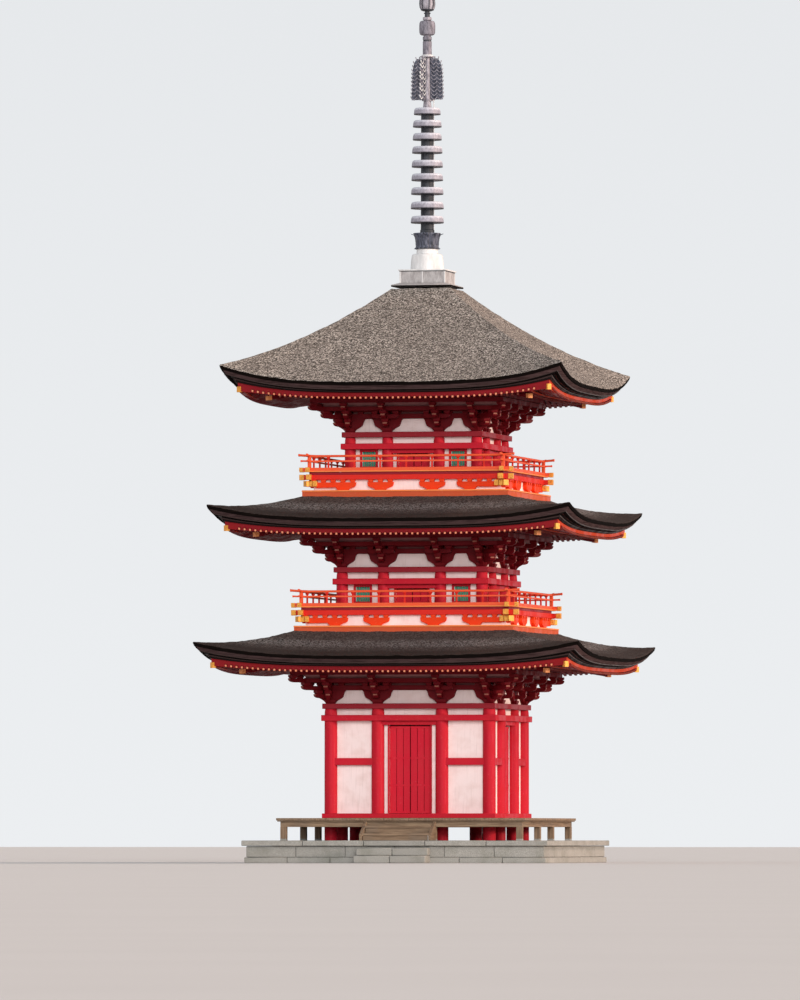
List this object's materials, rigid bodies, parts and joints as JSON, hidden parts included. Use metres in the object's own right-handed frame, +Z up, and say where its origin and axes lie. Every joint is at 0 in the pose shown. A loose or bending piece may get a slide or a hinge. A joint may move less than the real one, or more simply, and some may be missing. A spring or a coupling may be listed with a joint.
{
  "type": "pagoda",
  "caption": "Small tiered timber pagoda with curved bark roofs, vermilion frame, white plaster panels, railed balconies and a tall ringed bronze finial.",
  "frame": {"origin": "centre of the platform's underside, on the ground", "axes": "+Z up along the finial, -Y towards the front steps, +X to the right of the front"},
  "size_m": [6.64, 6.64, 15],
  "materials": {
    "vermilion_timber": "painted, satin",
    "deep_red_timber": "painted, satin",
    "plaster": "matt lime plaster",
    "cypress_bark": "weathered bark shingles",
    "boards": "weathered boards",
    "stone": "dressed granite",
    "bronze": "weathered bronze",
    "pale_metal": "pale weathered metal"
  },
  "bodies": {
    "root": {"stone_platform": "stone", "stone_steps": "stone", "timber_steps": "boards", "veranda": "boards", "floor_1": "boards", "timber_frame_1": "vermilion_timber", "head_ties_1": "vermilion_timber", "wall_1_front": "plaster", "door_1_front": "deep_red_timber", "wall_1_right": "plaster", "door_1_right": "deep_red_timber", "wall_1_back": "plaster", "door_1_back": "deep_red_timber", "wall_1_left": "plaster", "door_1_left": "deep_red_timber", "brackets_1": "deep_red_timber", "eaves_1": "deep_red_timber", "roof_1": "cypress_bark", "balcony_2": "vermilion_timber", "balcony_skirt_2": "plaster", "railing_2": "vermilion_timber", "floor_2": "boards", "timber_frame_2": "vermilion_timber", "head_ties_2": "vermilion_timber", "wall_2_front": "plaster", "door_2_front": "deep_red_timber", "wall_2_right": "plaster", "door_2_right": "deep_red_timber", "wall_2_back": "plaster", "door_2_back": "deep_red_timber", "wall_2_left": "plaster", "door_2_left": "deep_red_timber", "brackets_2": "deep_red_timber", "eaves_2": "deep_red_timber", "roof_2": "cypress_bark", "balcony_3": "vermilion_timber", "balcony_skirt_3": "plaster", "railing_3": "vermilion_timber", "floor_3": "boards", "timber_frame_3": "vermilion_timber", "head_ties_3": "vermilion_timber", "wall_3_front": "plaster", "door_3_front": "deep_red_timber", "wall_3_right": "plaster", "door_3_right": "deep_red_timber", "wall_3_back": "plaster", "door_3_back": "deep_red_timber", "wall_3_left": "plaster", "door_3_left": "deep_red_timber", "brackets_3": "deep_red_timber", "eaves_3": "deep_red_timber", "roof_3": "cypress_bark", "finial_box": "pale_metal", "finial_bowl": "pale_metal", "finial_lotus": "bronze", "finial_shaft": "bronze", "finial_flame": "bronze", "finial_ball": "bronze", "finial_jewel": "bronze"}
  },
  "joints": []
}
